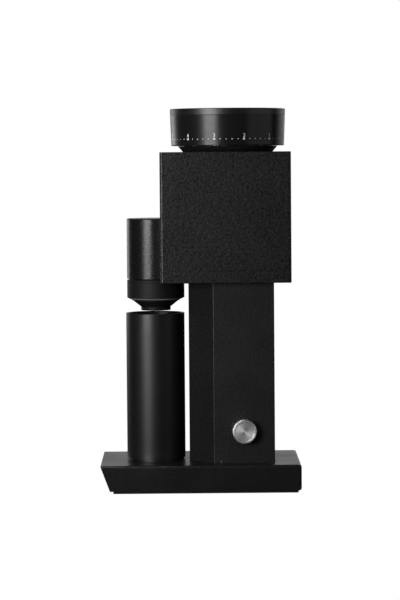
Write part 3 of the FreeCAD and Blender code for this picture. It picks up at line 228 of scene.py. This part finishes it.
def turned_metal(slot, roughness, centre, axis, pitch, depth, metallic=1.0, streak=0.2, stretch=0.5, wear=0.5,
                 specular=0.5, painted_highlight_band=None, name=None):
    """Metal turned on a lathe about an axis: fine rings in colour, gloss and height, whose shine
    spreads across the rings. pitch is the rings' spacing and depth their height, in metres.
    A band of two heights, when given, paints a pale painted highlight on a slanted edge between them."""
    material, graph = new_graph(name or slot)
    colour = SLOT_COLOURS[slot]
    place = graph.place()
    offset = graph.vectors("SUBTRACT", place, centre)
    along = graph.vectors("DOT_PRODUCT", offset, axis)
    around = graph.vectors("CROSS_PRODUCT", axis, offset)
    radius = graph.vectors("LENGTH", around)
    path = graph.maths("ADD", along, radius)
    rings = graph.lines(path, pitch)
    bands = graph.lines(path, pitch * 9, detail=1.0)
    clouds = graph.noise(place, 25 * MM, detail=3.0)
    edges = graph.edges(0.4 * MM)
    scuffs = graph.maths("MULTIPLY", edges, graph.remap(graph.noise(place, 1.8 * MM), 0.4, 0.75, 0.0, wear))
    streaks = graph.tint(rings, shade(colour, 1 - streak), shade(colour, 1 + streak))
    edge_tinted = graph.tint(scuffs, streaks, shade(colour, WORN_METAL if metallic else WORN_COAT))
    # Painted highlight: between the band's two heights the colour is made many times paler, standing in for
    # light the slanted edge reflects.
    if painted_highlight_band:
        level = graph.add("SeparateXYZ", {0: place}).outputs["Z"]
        above = graph.maths("GREATER_THAN", level, painted_highlight_band[0])
        below = graph.maths("LESS_THAN", level, painted_highlight_band[1])
        edge_tinted = graph.tint(graph.maths("MULTIPLY", above, below), edge_tinted, shade(colour, PAINTED_HIGHLIGHT_PALENESS))
    gloss = graph.remap(clouds, *NOISE_SPAN, roughness - 0.025, roughness + 0.025)
    gloss = graph.maths("ADD", gloss, graph.remap(bands, *NOISE_SPAN, -0.02, 0.02))
    normal = graph.add("NewGeometry").outputs["Normal"]
    across = graph.vectors("CROSS_PRODUCT", graph.vectors("NORMALIZE", around), normal)
    graph.finish(
        Base_Color=edge_tinted, Metallic=metallic, Roughness=gloss, Normal=graph.bump(rings, depth),
        Anisotropic=stretch, Tangent=across, Specular_IOR_Level=specular,
    )
    return material


def plain_metal(slot, roughness, pitch=0.35 * MM, wear=0.5):
    """Machined or plated metal with fine uneven tool lines, small stains and bright worn edges."""
    material, graph = new_graph(slot)
    colour = SLOT_COLOURS[slot]
    place = graph.place()
    height = graph.add("SeparateXYZ", {0: place}).outputs["Z"]
    lines = graph.lines(height, pitch)
    stains = graph.noise(place, 9 * MM, detail=4.0)
    edges = graph.edges(0.3 * MM)
    base = graph.tint(graph.remap(stains, 0.35, 0.7, 0.0, 1.0), shade(colour, 0.82), shade(colour, 1.08))
    edge_tinted = graph.tint(graph.maths("MULTIPLY", edges, wear), base, shade(colour, 1.35))
    gloss = graph.remap(stains, *NOISE_SPAN, roughness - 0.05, roughness + 0.06)
    gloss = graph.maths("ADD", gloss, graph.remap(lines, *NOISE_SPAN, -0.04, 0.04))
    graph.finish(Base_Color=edge_tinted, Metallic=1.0, Roughness=gloss, Normal=graph.bump(lines, 0.004 * MM))
    return material


def moulded(slot, roughness, grain=0.35 * MM, depth=0.012 * MM, specular=0.5):
    """Moulded plastic or rubber with a fine spark-eroded grain and slow changes of gloss."""
    material, graph = new_graph(slot)
    colour = SLOT_COLOURS[slot]
    place = graph.place()
    pebbles = graph.cells(place, grain)
    clouds = graph.noise(place, 14 * MM, detail=3.0)
    edges = graph.edges(0.3 * MM)
    base = graph.tint(clouds, shade(colour, 0.8), shade(colour, 1.2))
    edge_tinted = graph.tint(graph.maths("MULTIPLY", edges, 0.3), base, shade(colour, 1.8))
    gloss = graph.remap(clouds, *NOISE_SPAN, roughness - 0.06, roughness + 0.06)
    graph.finish(
        Base_Color=edge_tinted, Roughness=gloss, Normal=graph.bump(pebbles, depth), Specular_IOR_Level=specular
    )
    return material


def printed_mark(slot):
    """White print: a slightly uneven, faintly speckled film."""
    material, graph = new_graph(slot)
    colour = SLOT_COLOURS[slot]
    place = graph.place()
    specks = graph.noise(place, 0.25 * MM, detail=2.0)
    base = graph.tint(graph.remap(specks, *NOISE_SPAN, 0.0, 1.0), shade(colour, 0.86), shade(colour, 1.0))
    gloss = graph.remap(specks, *NOISE_SPAN, 0.5, 0.62)
    graph.finish(Base_Color=base, Roughness=gloss, Normal=graph.bump(specks, 0.006 * MM))
    return material


def wound_wire(slot):
    """Enamelled wire wound side by side: round ridges a wire apart, with painted shade darkening the gaps
    between them.
    """
    material, graph = new_graph(slot)
    colour = SLOT_COLOURS[slot]
    wire = 0.8 * MM
    place = graph.place()
    height = graph.add("SeparateXYZ", {0: place}).outputs["Z"]
    wander = graph.remap(graph.noise(place, 6 * MM), 0.0, 1.0, -0.5 * MM, 0.5 * MM)
    turns = graph.maths("SINE", graph.maths("MULTIPLY", graph.maths("ADD", height, wander), math.tau / wire))
    ridges = graph.remap(turns, -1.0, 1.0, 0.0, 1.0)
    # Painted shade: the gaps between the turns are darkened to about a third of the wire's colour.
    base = graph.tint(ridges, shade(colour, 0.35), shade(colour, 1.1))
    gloss = graph.remap(ridges, 0.0, 1.0, 0.5, 0.28)
    graph.finish(Base_Color=base, Metallic=0.85, Roughness=gloss, Normal=graph.bump(ridges, 0.2 * MM))
    return material


def circuit_board(slot):
    """A lacquered board: paler copper tracks showing through the green, and small vias."""
    material, graph = new_graph(slot)
    colour = SLOT_COLOURS[slot]
    place = graph.place()
    parts = graph.add("SeparateXYZ", {0: place})
    steps = graph.add("CombineXYZ", {
        "X": graph.maths("SNAP", parts.outputs["X"], 6 * MM),
        "Z": graph.maths("SNAP", parts.outputs["Z"], 9 * MM),
    }).outputs[0]
    lane = graph.noise(steps, 5 * MM)
    lean = graph.maths("GREATER_THAN", lane, 0.5)
    run = graph.add("Mix", {0: lean, 2: parts.outputs["X"], 3: parts.outputs["Z"]}).outputs[0]
    wave = graph.maths("SINE", graph.maths("MULTIPLY", run, math.tau / (1.6 * MM)))
    tracks = graph.remap(wave, 0.1, 0.45, 0.0, 1.0)
    vias = graph.maths("LESS_THAN", graph.cells(place, 4.5 * MM), 0.12)
    base = graph.tint(tracks, shade(colour, 0.75), shade(colour, 1.7))
    base = graph.tint(vias, base, shade(SLOT_COLOURS["pin_brass"], 0.9))
    gloss = graph.remap(tracks, 0.0, 1.0, 0.3, 0.38)
    graph.finish(Base_Color=base, Roughness=gloss, Normal=graph.bump(tracks, 0.03 * MM))
    return material


def stacked_sheet(slot, roughness):
    """Laminated steel: a stack of thin sheets with dark lines of varnish between them."""
    material, graph = new_graph(slot)
    colour = SLOT_COLOURS[slot]
    place = graph.place()
    height = graph.add("SeparateXYZ", {0: place}).outputs["Z"]
    wave = graph.maths("SINE", graph.maths("MULTIPLY", height, math.tau / (0.7 * MM)))
    sheets = graph.remap(wave, -0.9, -0.2, 0.0, 1.0)
    stains = graph.noise(place, 6 * MM, detail=3.0)
    base = graph.tint(sheets, shade(colour, 0.35), shade(colour, 1.1))
    base = graph.tint(graph.remap(stains, 0.45, 0.75, 0.0, 0.5), base, shade(colour, 0.7))
    gloss = graph.remap(stains, *NOISE_SPAN, roughness - 0.05, roughness + 0.08)
    graph.finish(Base_Color=base, Metallic=1.0, Roughness=gloss, Normal=graph.bump(sheets, 0.06 * MM))
    return material


# A node whose coat differs from the rest of its slot.
NODE_COATS = {"head_shell": "head_coat", "hopper_lid": "lid_black"}


def middle(node):
    low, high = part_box(node)
    return (low + high) / 2


def make_materials():
    """One material for each slot of the record, and the nodes that need their own turning axis."""
    dial_centre = middle("dial_ring")
    chute_centre = middle("chute_body")
    knob_centre = middle("knob")
    across = Vector((0, 1, 0))
    collar_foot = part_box("chute_collar")[0].z
    return {
        "base_coat": coated_metal("base_coat", 0.32, 1.6 * MM, 0.06 * MM, speckle=0.15, wear=0.25),
        "body_coat": coated_metal(
            "body_coat", 0.41, 1.8 * MM, 0.1 * MM, speckle=0.4, wear=0.1, specular=0.45
        ),
        "head_coat": coated_metal(
            "body_coat", 0.4, 2.4 * MM, 0.2 * MM, speckle=1.0, wear=0.12, specular=0.39, sparkle=0.1,
            name="head_coat",
        ),
        "seat_black": coated_metal(
            "seat_black", 0.6, 0.4 * MM, 0.01 * MM, speckle=0.2, wear=0.2, specular=0.2
        ),
        "chute_black": coated_metal(
            "chute_black", 0.27, 2.0 * MM, 0.07 * MM, speckle=0.3, wear=0.4, specular=0.3
        ),
        # The collar's slanted lower edge gets a painted highlight band in its colour.
        "collar_black": turned_metal(
            "collar_black", 0.6, chute_centre, UP, 0.18 * MM, 0.002 * MM, metallic=0.0, stretch=0.3,
            specular=0.27, painted_highlight_band=[collar_foot + level for level in PAINTED_HIGHLIGHT_LEVELS],
        ),
        "cup_black": coated_metal("cup_black", 0.38, 1.4 * MM, 0.03 * MM, speckle=0.1, wear=0.3),
        "dial_black": turned_metal(
            "dial_black", 0.35, dial_centre, UP, 0.3 * MM, 0.002 * MM, metallic=0.0, stretch=0.8
        ),
        "lid_black": turned_metal(
            "dial_black", 0.45, dial_centre, UP, 0.3 * MM, 0.002 * MM, metallic=0.0, stretch=0.7,
            specular=0.95, name="lid_black",
        ),
        "knob_steel": turned_metal(
            "knob_steel", 0.44, knob_centre, across, 0.25 * MM, 0.004 * MM, stretch=0.4
        ),
        "burr_steel": turned_metal("burr_steel", 0.28, dial_centre, UP, 0.3 * MM, 0.004 * MM, stretch=0.3),
        "mark_white": printed_mark("mark_white"),
        "steel": plain_metal("steel", 0.3),
        "core_steel": stacked_sheet("core_steel", 0.42),
        "magnet_nickel": plain_metal("magnet_nickel", 0.2, pitch=0.6 * MM),
        "raw_aluminium": plain_metal("raw_aluminium", 0.36, pitch=0.5 * MM),
        "pin_brass": plain_metal("pin_brass", 0.26, pitch=0.4 * MM),
        "winding_copper": wound_wire("winding_copper"),
        "black_rubber": moulded("black_rubber", 0.75, grain=0.5 * MM, depth=0.02 * MM, specular=0.3),
        "board_green": circuit_board("board_green"),
        "black_plastic": moulded("black_plastic", 0.5),
        "bearing_plastic": moulded("bearing_plastic", 0.45, depth=0.006 * MM),
    }


def dress_nodes(by_slot):
    """Gives every CAD node its slot's material."""
    packed = set()
    for name, node in NODES.items():
        for held in node.material_slots:
            packed.add(held.material)
            held.material = by_slot[NODE_COATS.get(name, held.material.name)]
    for material in packed:
        bpy.data.materials.remove(material)


# ---- Printed marks ------------------------------------------------------------------

PRINT_HEIGHT = 0.045 * MM      # how far the print stands above its surface
PRINT_ROOT = 0.06 * MM         # how far its underside reaches into it
DIAL_NUMBERS = 12
DOTS_PER_NUMBER = 5
NUMBER_ZERO_AT = math.radians(75.5)   # from -Y towards +X, seen from above
DOT_LEVEL = 6.7 * MM           # the dots' height above the dial's lower edge
NUMBER_LEVEL = 10.4 * MM       # the middle of the numbers, above the same edge
NUMBER_TALL = 3.9 * MM
MAJOR_DOT = 1.15 * MM           # radii
MINOR_DOT = 0.52 * MM
DOT_SIDES = 20
TAPER_PROBES = (4 * MM, 8 * MM)   # where the dial's taper is read, from its foot and from its top
MERGE_REACH = 0.001 * MM          # number points closer than this are one point
INDEX_LENGTH = 5 * MM
INDEX_HALF_WIDTH = 0.5 * MM
INDEX_END_SIDES = 8


def wrap_round(node, centre, first, second):
    """Returns a function that lays (azimuth, height) on a tapered round node, a given distance
    proud of it. The taper is read from the node's own mesh at two heights."""
    graph = bpy.context.evaluated_depsgraph_get()
    tree = BVHTree.FromObject(NODES[node], graph)
    start = Vector((0, -1, 0))

    def radius_at(height):
        far = Vector((centre.x, centre.y, height)) + start
        return (tree.ray_cast(far, -start)[0] - Vector((centre.x, centre.y, height))).length

    low, high = radius_at(first), radius_at(second)

    def lay(azimuth, height, proud):
        radius = low + (high - low) * (height - first) / (second - first) + proud
        return Vector((centre.x + radius * math.sin(azimuth), centre.y - radius * math.cos(azimuth), height))

    return lay, low


def add_piece(name, mesh, body):
    """Puts a finished mesh in the scene as a piece that rides on a body."""
    piece = bpy.data.objects.new(name, mesh)
    bpy.context.scene.collection.objects.link(piece)
    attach(piece, body)
    return piece


def close_shapes(name, shapes, material):
    """A mesh of thin closed plates. Each shape is its outer ring of points and its inner one."""
    bm = bmesh.new()
    for outer, inner in shapes:
        top = [bm.verts.new(point) for point in outer]
        bottom = [bm.verts.new(point) for point in inner]
        bm.faces.new(top)
        bm.faces.new(reversed(bottom))
        for i in range(len(top)):
            j = (i + 1) % len(top)
            bm.faces.new((top[j], top[i], bottom[i], bottom[j]))
    bmesh.ops.recalc_face_normals(bm, faces=bm.faces)
    mesh = bpy.data.meshes.new(name)
    bm.to_mesh(mesh)
    bm.free()
    mesh.materials.append(material)
    return mesh


def number_mesh(text):
    """A number as a thin plate, centred, NUMBER_TALL high, its faces at z = -1 and z = +1."""
    curve = bpy.data.curves.new("number", "FONT")
    curve.body = text
    curve.align_x = "CENTER"
    curve.extrude = 1.0
    curve.offset = 0.004
    source = bpy.data.objects.new("number", curve)
    bpy.context.scene.collection.objects.link(source)
    bpy.context.view_layer.update()
    mesh = bpy.data.meshes.new_from_object(source.evaluated_get(bpy.context.evaluated_depsgraph_get()))
    bpy.data.objects.remove(source)
    bpy.data.curves.remove(curve)
    heights = [v.co.y for v in mesh.vertices]
    low, high = min(heights), max(heights)
    scale = NUMBER_TALL / (high - low)
    for v in mesh.vertices:
        v.co.x *= scale
        v.co.y = (v.co.y - (low + high) / 2) * scale
    return mesh


def make_dial_marks(material):
    """The dial's row of dots, five to each twelfth of a turn, and its numbers 0 to 11."""
    low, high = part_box("dial_ring")
    centre = middle("dial_ring")
    lay, radius = wrap_round("dial_ring", centre, low.z + TAPER_PROBES[0], high.z - TAPER_PROBES[1])
    shapes = []
    for i in range(DIAL_NUMBERS * DOTS_PER_NUMBER):
        azimuth = NUMBER_ZERO_AT - math.tau * i / (DIAL_NUMBERS * DOTS_PER_NUMBER)
        size = MAJOR_DOT if i % DOTS_PER_NUMBER == 0 else MINOR_DOT
        level = low.z + DOT_LEVEL
        turns = [math.tau * k / DOT_SIDES for k in range(DOT_SIDES)]
        ring = [(azimuth + size * math.cos(t) / radius, level + size * math.sin(t)) for t in turns]
        outer = [lay(a, z, PRINT_HEIGHT) for a, z in ring]
        inner = [lay(a, z, -PRINT_ROOT) for a, z in ring]
        shapes.append((outer, inner))
    add_piece("dial_dots", close_shapes("dial_dots", shapes, material), "dial")

    bm = bmesh.new()
    for number in range(DIAL_NUMBERS):
        azimuth = NUMBER_ZERO_AT - math.tau * number / DIAL_NUMBERS
        flat = number_mesh(str(number))
        for v in flat.vertices:
            proud = PRINT_HEIGHT if v.co.z > 0 else -PRINT_ROOT
            v.co = lay(azimuth + v.co.x / radius, low.z + NUMBER_LEVEL + v.co.y, proud)
        bm.from_mesh(flat)
        bpy.data.meshes.remove(flat)
    mesh = bpy.data.meshes.new("dial_numbers")
    bmesh.ops.remove_doubles(bm, verts=bm.verts, dist=MERGE_REACH)
    bmesh.ops.recalc_face_normals(bm, faces=bm.faces)
    bm.to_mesh(mesh)
    bm.free()
    mesh.materials.clear()
    mesh.materials.append(material)
    add_piece("dial_numbers", mesh, "dial")


def make_index_mark(material):
    """The short line on the head's top that the dial is read against, at the grinder's front."""
    head_low, head_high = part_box("head_shell")
    dial_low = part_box("dial_ring")[0]
    start = (head_low.x + dial_low.x) / 2 - INDEX_LENGTH / 2
    turns = [math.pi * (0.5 + k / INDEX_END_SIDES) for k in range(INDEX_END_SIDES + 1)]
    left = [(start + INDEX_HALF_WIDTH * math.cos(t), INDEX_HALF_WIDTH * math.sin(t)) for t in turns]
    outline = left + [(2 * start + INDEX_LENGTH - x, -y) for x, y in left]
    outer = [Vector((x, y, head_high.z + PRINT_HEIGHT)) for x, y in outline]
    inner = [Vector((x, y, head_high.z - PRINT_ROOT)) for x, y in outline]
    mesh = close_shapes("index_mark", [(outer, inner)], material)
    add_piece("index_mark", mesh, "stand")


POINTER_REACH = (-10.9 * MM, 6.2 * MM)   # the groove's ends, from the knob's axis
POINTER_HALF_WIDTH = 0.6 * MM
POINTER_ANGLE = math.radians(46)         # how far its short end points below +X
KNOB_DISH = 0.5 * MM                     # how deep the knob's inner face lies
FILL_SIDE_GAP = 0.01 * MM
FILL_LEVEL = 0.06 * MM                   # how far the filling stays below the inner face
FILL_BOTTOM = 0.58 * MM
FILL_END_SIDES = 10
# The filling's rounded front: the depth below FILL_LEVEL, and the share of the full width there.
FILL_CROWN = [(-0.05 * MM, 0.5), (0.0, 0.85), (0.08 * MM, 1.0)]


def make_pointer_fill(material):
    """The pale filling of the groove that shows which way the knob points."""
    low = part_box("knob")[0]
    centre = middle("knob")
    half = POINTER_HALF_WIDTH - FILL_SIDE_GAP
    along = Vector((math.cos(POINTER_ANGLE), 0, -math.sin(POINTER_ANGLE)))
    side = Vector((math.sin(POINTER_ANGLE), 0, math.cos(POINTER_ANGLE)))
    inner_face = low.y + KNOB_DISH
    outline = []
    for end, start_turn in ((POINTER_REACH[1], -0.5), (POINTER_REACH[0], 0.5)):
        for k in range(FILL_END_SIDES + 1):
            turn = math.pi * (start_turn + k / FILL_END_SIDES)
            outline.append((end, math.cos(turn), math.sin(turn)))

    def ring(depth, shrink):
        points = []
        for end, across, up in outline:
            flat = along * (end + across * half * shrink) + side * (up * half * shrink)
            points.append(Vector((centre.x + flat.x, depth, centre.z + flat.z)))
        return points

    bm = bmesh.new()
    levels = [(inner_face + FILL_LEVEL + depth, share) for depth, share in FILL_CROWN]
    levels.append((inner_face + FILL_BOTTOM, 1.0))
    rows = [[bm.verts.new(point) for point in ring(*level)] for level in levels]
    bm.faces.new(rows[0])
    bm.faces.new(reversed(rows[-1]))
    for front, back in zip(rows, rows[1:]):
        for i in range(len(front)):
            j = (i + 1) % len(front)
            bm.faces.new((front[j], front[i], back[i], back[j]))
    bmesh.ops.recalc_face_normals(bm, faces=bm.faces)
    mesh = bpy.data.meshes.new("pointer_fill")
    bm.to_mesh(mesh)
    bm.free()
    mesh.materials.append(material)
    add_piece("pointer_fill", mesh, "knob")


# ---- Studio -------------------------------------------------------------------------

AIM = Vector((0.02, 0, 0.22))   # the point that every light is turned to
WHITE = (1, 1, 1, 1)
BACK_GLOW = 0.68            # the pale wall behind the grinder, up to a little above the horizon
WALL_EDGE = (0.42, 0.66)    # cosines from +Y between which the wall fades in
WALL_TOP = (0.12, 0.4)      # sines of the elevation between which it fades out
WALL_REST = 0.12            # the share of the wall's glow left above that
ROOM_GLOW = 0.012
FRONT_GLOW = 0.05           # a dim pale screen behind the camera
SCREEN_EDGE = (0.6, 0.95)   # cosines from -Y between which the screen fades in
FLOOR_SHADE = 0.05
FLOOR_REACH = 6.0

# Name, azimuth from -Y towards +X and elevation, both in degrees, distance, width, height, watts.
LIGHTS = [
    ("key", -35, 4, 1.15, 0.52, 0.36, 7.3),
    ("accent", -40, 46, 0.42, 0.16, 0.16, 0.55),
    ("back_left", -142, 5, 1.6, 0.6, 0.6, 1.6),
    ("back_right", 150, 32, 1.6, 0.9, 0.9, 5.0),
    ("right_fill", 68, 10, 1.3, 1.4, 0.6, 1.5),
]


def place_light(name, azimuth, elevation, distance, width, height, power):
    """An area light turned to AIM and hidden from the camera."""
    data = bpy.data.lights.new(name, "AREA")
    data.shape = "RECTANGLE"
    data.size = width
    data.size_y = height
    data.energy = power
    light = bpy.data.objects.new(name, data)
    bpy.context.scene.collection.objects.link(light)
    a, e = math.radians(azimuth), math.radians(elevation)
    away = Vector((math.sin(a) * math.cos(e), -math.cos(a) * math.cos(e), math.sin(e)))
    light.location = AIM + away * distance
    light.rotation_mode = "QUATERNION"
    light.rotation_quaternion = away.to_track_quat("Z", "Y")
    light.visible_camera = False


def make_world():
    """A white room to the camera. To the grinder it is dim, with a pale wall behind."""
    world = bpy.data.worlds.new("studio")
    bpy.context.scene.world = world
    world.use_nodes = True
    graph = Graph(world.node_tree)
    direction = graph.add("TexCoord").outputs["Generated"]
    behind = graph.remap(graph.vectors("DOT_PRODUCT", direction, (0, 1, 0)), *WALL_EDGE, 0.0, 1.0)
    height = graph.vectors("DOT_PRODUCT", direction, UP)
    lit = graph.maths("MULTIPLY", behind, graph.remap(height, *WALL_TOP, 1.0, WALL_REST))
    wall = graph.remap(lit, 0.0, 1.0, ROOM_GLOW, BACK_GLOW)
    ahead = graph.vectors("DOT_PRODUCT", direction, (0, -1, 0))
    wall = graph.maths("ADD", wall, graph.remap(ahead, *SCREEN_EDGE, 0.0, FRONT_GLOW))
    seen = graph.add("LightPath").outputs["Is Camera Ray"]
    shown = graph.add("Background", {"Color": WHITE, "Strength": 1.0}).outputs[0]
    felt = graph.add("Background", {"Color": WHITE, "Strength": wall}).outputs[0]
    mixed = graph.add("MixShader", {0: seen, 1: felt, 2: shown}).outputs[0]
    graph.add("OutputWorld", {"Surface": mixed})


def make_floor():
    """A plain pale floor that shows white and reflects softly."""
    mesh = bpy.data.meshes.new("floor")
    level = CAD_BOX[0].z
    turns = ((-1, -1), (1, -1), (1, 1), (-1, 1))
    corners = [(x * FLOOR_REACH, y * FLOOR_REACH, level) for x, y in turns]
    mesh.from_pydata(corners, [], [(0, 1, 2, 3)])
    floor = bpy.data.objects.new("floor", mesh)
    bpy.context.scene.collection.objects.link(floor)
    material = bpy.data.materials.new("floor_paint")
    material.use_nodes = True
    graph = Graph(material.node_tree)
    seen = graph.add("LightPath").outputs["Is Camera Ray"]
    matte = graph.add("BsdfDiffuse", {"Color": (FLOOR_SHADE, FLOOR_SHADE, FLOOR_SHADE, 1)}).outputs[0]
    glow = graph.add("Emission", {"Color": WHITE, "Strength": 1.0}).outputs[0]
    mixed = graph.add("MixShader", {0: seen, 1: matte, 2: glow}).outputs[0]
    graph.add("OutputMaterial", {"Surface": mixed})
    mesh.materials.append(material)


make_camera()
materials = make_materials()
dress_nodes(materials)
make_dial_marks(materials["mark_white"])
make_index_mark(materials["mark_white"])
make_pointer_fill(materials["mark_white"])
make_world()
make_floor()
for light in LIGHTS:
    place_light(*light)
bpy.context.scene.view_settings.view_transform = "Standard"
